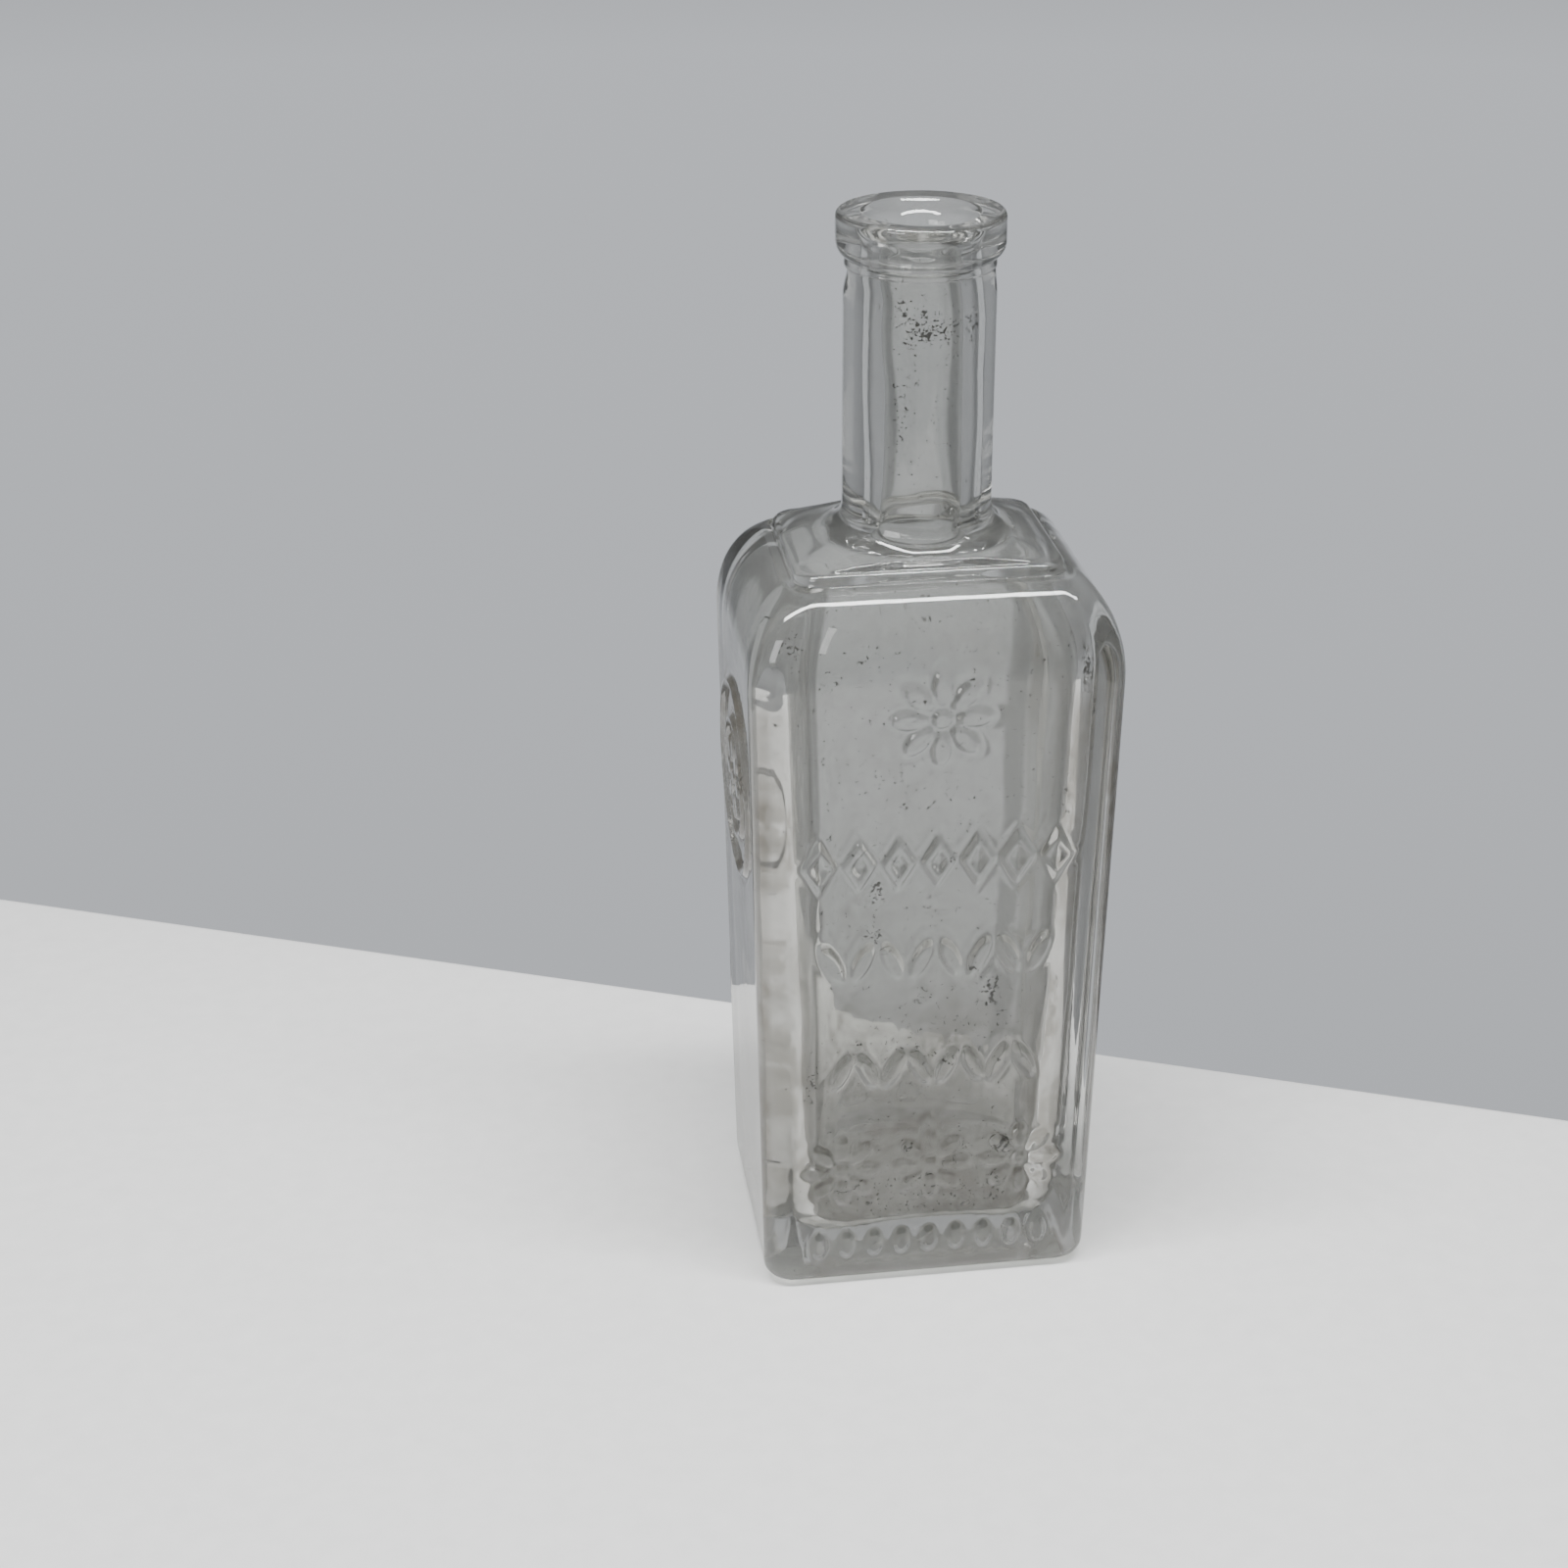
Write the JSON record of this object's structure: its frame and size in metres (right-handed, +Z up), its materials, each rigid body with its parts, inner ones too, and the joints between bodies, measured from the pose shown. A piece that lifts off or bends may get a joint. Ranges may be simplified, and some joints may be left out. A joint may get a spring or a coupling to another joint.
{
  "type": "glass bottle",
  "caption": "Antique clear glass dressing-table bottle with a rectangular body, raised ornament, round neck and flanged lip.",
  "frame": {"origin": "middle of the base, on the surface that the bottle stands on", "axes": "+Z up along the neck; the ornamented front panel faces -Y and the medallion panel faces -X"},
  "size_m": [0.0537, 0.0449, 0.16],
  "materials": {
    "clear_glass": "clear, slightly grey, lightly hazed and worn"
  },
  "bodies": {
    "root": {"bottle_body": "clear_glass", "lip_finish": "clear_glass"}
  },
  "joints": []
}
